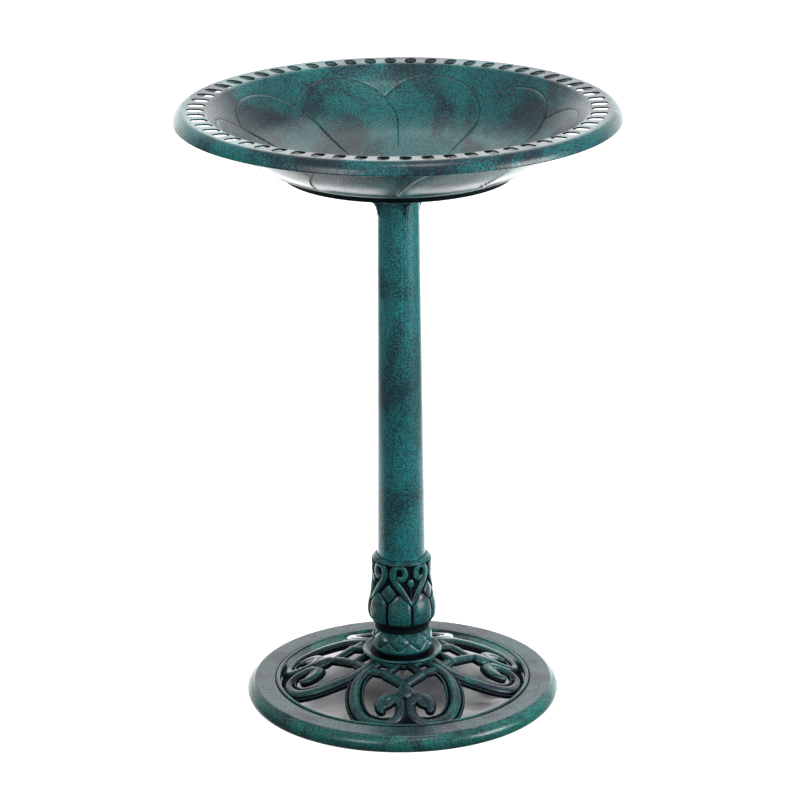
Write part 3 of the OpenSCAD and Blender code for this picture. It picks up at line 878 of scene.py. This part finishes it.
def bowl():
    """The bowl: both faces of its wall, the slots' band, the lip, and the keyed spigot."""
    inside, inside_faces, inside_line = bowl_inside()
    outside, outside_faces, outside_line, outside_dark = bowl_outside()
    rim, rim_faces = bowl_rim()
    sectors = [slot_sector(i) for i in range(SLOTS)]
    parts = [(inside, inside_faces), (outside, outside_faces), (rim, rim_faces)]
    parts += [(points, faces) for points, faces, _ in sectors]
    parts += [key(0), key(180)]
    points, faces = joined(*parts)
    line = np.zeros(len(points))
    line[:len(inside)] = inside_line
    line[len(inside):len(inside) + len(outside)] = outside_line
    # painted shade: round the foot ring underneath, and on the slots' walls
    painted_shade = np.zeros(len(points))
    painted_shade[len(inside):len(inside) + len(outside)] = outside_dark
    start = len(inside) + len(outside) + len(rim)
    slot_dark = np.concatenate([dark for _, _, dark in sectors])
    painted_shade[start:start + len(slot_dark)] = slot_dark
    mesh = make_mesh("bowl", points, faces, {"line": line, "painted_shade": painted_shade}, 50)
    return welded(mesh)


def welded(mesh):
    """Joins the sectors' borders to each other and turns all faces outwards."""
    shape = bmesh.new()
    shape.from_mesh(mesh)
    bmesh.ops.remove_doubles(shape, verts=shape.verts, dist=0.02 * MM)
    bmesh.ops.recalc_face_normals(shape, faces=shape.faces)
    shape.to_mesh(mesh)
    shape.free()
    mesh.shade_smooth()
    mesh.set_sharp_from_angle(angle=radians(50))
    return mesh


# Studio

def studio():
    """A pale floor with a painted shadow under the base, a white room that is dim towards the sides, and
    soft lights.
    """
    floor_mesh = bpy.data.meshes.new("floor")
    far = 9.0
    corners = [(-far, -far, 0), (far, -far, 0), (far, far, 0), (-far, far, 0)]
    floor_mesh.from_pydata(corners, [], [(0, 1, 2, 3)])
    floor = bpy.data.objects.new("floor", floor_mesh)
    bpy.context.scene.collection.objects.link(floor)
    paint = bpy.data.materials.new("floor_white")
    tree, shader = node_tree(paint)
    place = add(tree, "ShaderNodeTexCoord").outputs["Object"]
    tone = mix(tree, noise(tree, place, 3.0), (0.94, 0.94, 0.94), (0.96, 0.96, 0.96))
    far_off = add(tree, "ShaderNodeVectorMath", {0: place}, operation="LENGTH").outputs["Value"]
    # painted shadow: the floor greys towards the axis, under the base
    tone = mix(tree, remap(tree, far_off, 0.03, 0.12), (0.30, 0.31, 0.32), tone)
    tree.links.new(tone, shader.inputs["Base Color"])
    shader.inputs["Roughness"].default_value = 0.9
    shader.inputs["Specular IOR Level"].default_value = 0.1
    tree.links.new(tone, shader.inputs["Emission Color"])
    # the floor glows evenly white beyond the base, and the glow fades out towards the base, deepening the
    # painted shadow
    tree.links.new(remap(tree, far_off, 0.10, 0.175, 0.0, 0.95), shader.inputs["Emission Strength"])
    floor_mesh.materials.append(paint)
    floor.visible_diffuse = False
    floor.visible_glossy = False

    world = bpy.data.worlds.new("room")
    bpy.context.scene.world = world
    world.use_nodes = True
    tree = world.node_tree
    background = tree.nodes["Background"]
    direction = add(tree, "ShaderNodeTexCoord").outputs["Generated"]
    split = add(tree, "ShaderNodeSeparateXYZ", {"Vector": direction}).outputs
    glow = remap(tree, split["Z"], -0.25, 0.6, 0.10, 0.36)
    backdrop = maths(tree, "MULTIPLY", remap(tree, split["Y"], 0.55, 0.95, 0.0, 2.6),
                     remap(tree, split["Z"], 0.60, 0.05))
    glow = maths(tree, "ADD", glow, backdrop)
    tree.links.new(glow, background.inputs["Strength"])
    background.inputs["Color"].default_value = (1, 1, 1, 1)

    for name, place, aim, size, power, diffuse in (
        ("key", (-1.5, -2.4, 1.5), (0, 0, 0.4), 0.9, 27, 1),
        ("fill", (2.2, -1.0, 0.75), (0, 0, 0.35), 0.9, 46, 1),
        ("back", (0.2, 2.0, 2.3), (0, 0, 0.5), 1.8, 16, 1),
        ("top", (0.3, -0.75, 2.5), (0, 0, 0.2), 0.25, 9, 0.4),
        ("glow_from_floor", (0, 0.9, 0.01), (0, 0.9, 1), 1.7, 15, 0),
    ):
        data = bpy.data.lights.new(name, "AREA")
        data.size = size
        data.energy = power
        data.diffuse_factor = diffuse
        light = bpy.data.objects.new(name, data)
        light.location = place
        light.rotation_euler = (Vector(aim) - Vector(place)).to_track_quat("-Z", "Y").to_euler()
        light.visible_camera = False
        bpy.context.scene.collection.objects.link(light)
    bpy.context.scene.view_settings.view_transform = "Standard"


def camera():
    """The camera at the photograph's angle: 3.9 m away, 1.68 m up, looking down 18.6 degrees."""
    pitch, yaw, roll = 0.3240078, 0.00078887, -0.0087607
    ahead = Vector((sin(yaw) * cos(pitch), cos(yaw) * cos(pitch), -sin(pitch)))
    right = Vector((cos(yaw), -sin(yaw), 0))
    up = right.cross(ahead)
    right, up = cos(roll) * right + sin(roll) * up, cos(roll) * up - sin(roll) * right
    data = bpy.data.cameras.new("camera")
    data.sensor_width = 36
    data.lens = 159.96
    data.clip_end = 100
    view = bpy.data.objects.new("camera", data)
    turn = Matrix((right, up, -ahead)).transposed().to_4x4()
    view.matrix_world = Matrix.Translation((-0.00326, -3.9025, 1.67598)) @ turn
    bpy.context.scene.collection.objects.link(view)
    bpy.context.scene.camera = view


camera()
studio()

green_base = verdigris("verdigris_base", (0.003, 0.120, 0.095), (0.008, 0.215, 0.170),
                       (22, 22, 22), (0.46, 0.70), 0.95)
# painted shade: the scrollwork's copy of the green is darker, for the shade over the low lattice
green_scroll_shaded = verdigris("verdigris_scroll_shaded", (0.001, 0.070, 0.060), (0.004, 0.130, 0.108),
                         (24, 24, 24), (0.42, 0.66), 0.97)
green_foot = verdigris("verdigris_foot", (0.004, 0.130, 0.125), (0.014, 0.205, 0.195),
                       (26, 26, 26), (0.46, 0.70), 0.95)
# painted light: the column's copy of the green is lighter, for the light on its upright face
green_column_lit = verdigris("verdigris_column_lit", (0.008, 0.190, 0.200), (0.030, 0.290, 0.305),
                         (12, 12, 9), (0.46, 0.70), 0.9)
green_bowl = verdigris("verdigris_bowl", (0.005, 0.140, 0.150), (0.015, 0.260, 0.260),
                       (13, 8, 13), (0.41, 0.63), 0.95)
steel = zinc("zinc_plate")

put("base_band_shell", base_band(), "stand", ["base_band"], green_base)
put("base_hub_plate", base_hub(), "stand", ["base_hub"], green_base)
unit = scroll_unit()
mark_scroll(unit)
UNIT_TURNS = (("scroll_front", 180), ("scroll_right", -90), ("scroll_back", 0), ("scroll_left", 90))
for unit_node, unit_turn in UNIT_TURNS:
    turned = unit.copy()
    turned.transform(Matrix.Rotation(radians(unit_turn + BASE_TURN), 4, "Z"))
    put(unit_node + "_lyre", turned, "stand", [unit_node], green_scroll_shaded)
put("foot_dish_turned", foot_dish(), "stand", ["foot_dish"], green_foot)
put("foot_ring_leaves", foot_ring(), "stand", ["foot_ring"], green_foot)
put("lotus_collar_relief", lotus_collar(), "stand", ["lotus_collar"], green_foot)
put("column_tapered", column_tube(), "stand", ["column_tube"], green_column_lit)
put("bowl_seat_flange", bowl_seat(), "stand", ["bowl_seat"], green_column_lit)
put("bowl_with_petals", bowl(), "bowl", ["bowl"], green_bowl)
for steel_node in ("tie_rod", "bottom_washer", "bottom_nut", "top_washer", "top_nut"):
    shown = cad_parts[steel_node]
    shown.data.materials.clear()
    shown.data.materials.append(steel)
